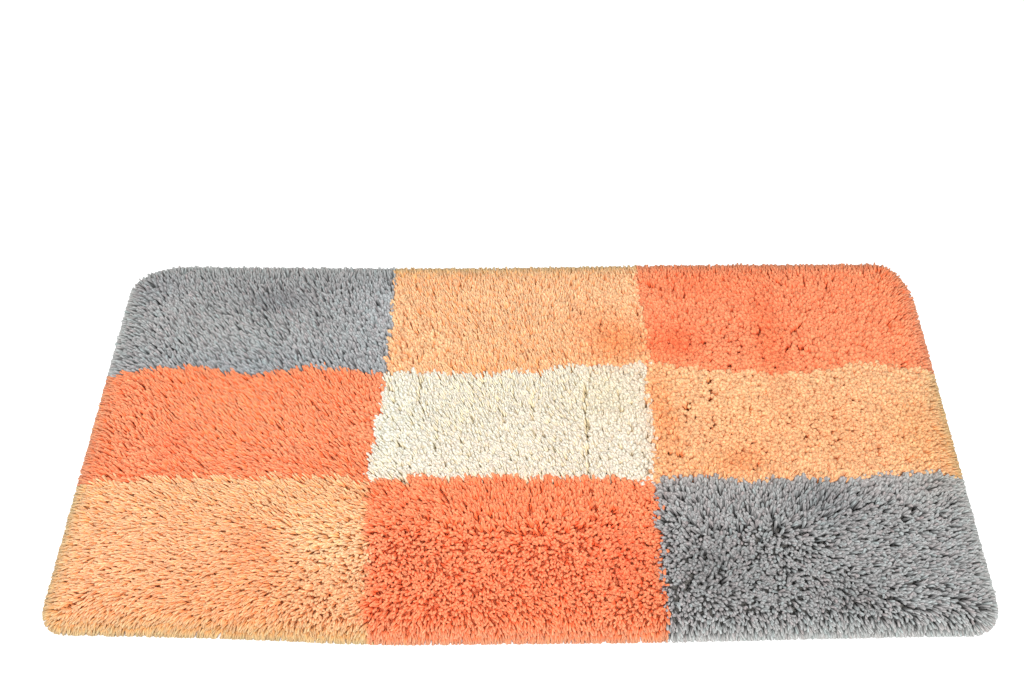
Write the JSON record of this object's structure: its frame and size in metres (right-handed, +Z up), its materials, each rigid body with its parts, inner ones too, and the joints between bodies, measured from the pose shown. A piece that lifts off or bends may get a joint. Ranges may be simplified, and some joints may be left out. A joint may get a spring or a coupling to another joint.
{
  "type": "shag rug",
  "caption": "Long-pile shag rug lying flat: a ground cloth filled with cut yarn in a chart of plain colour blocks, its pile falling outward over rounded corners.",
  "frame": {"origin": "centre of the rug's reach, on the floor under it", "axes": "+X along the rug's length, +Y across it towards the back row of blocks, +Z up out of the pile"},
  "size_m": [1.3996, 0.714, 0.0289],
  "materials": {
    "yarn_coral": "matt twisted pile yarn, coral red",
    "yarn_peach": "matt twisted pile yarn, peach orange",
    "yarn_grey": "matt twisted pile yarn, mid grey",
    "yarn_cream": "matt twisted pile yarn, cream white",
    "ground_cloth": "plain woven ground cloth, unbleached"
  },
  "bodies": {
    "root": {"shag_rug": "yarn_coral"}
  },
  "joints": []
}
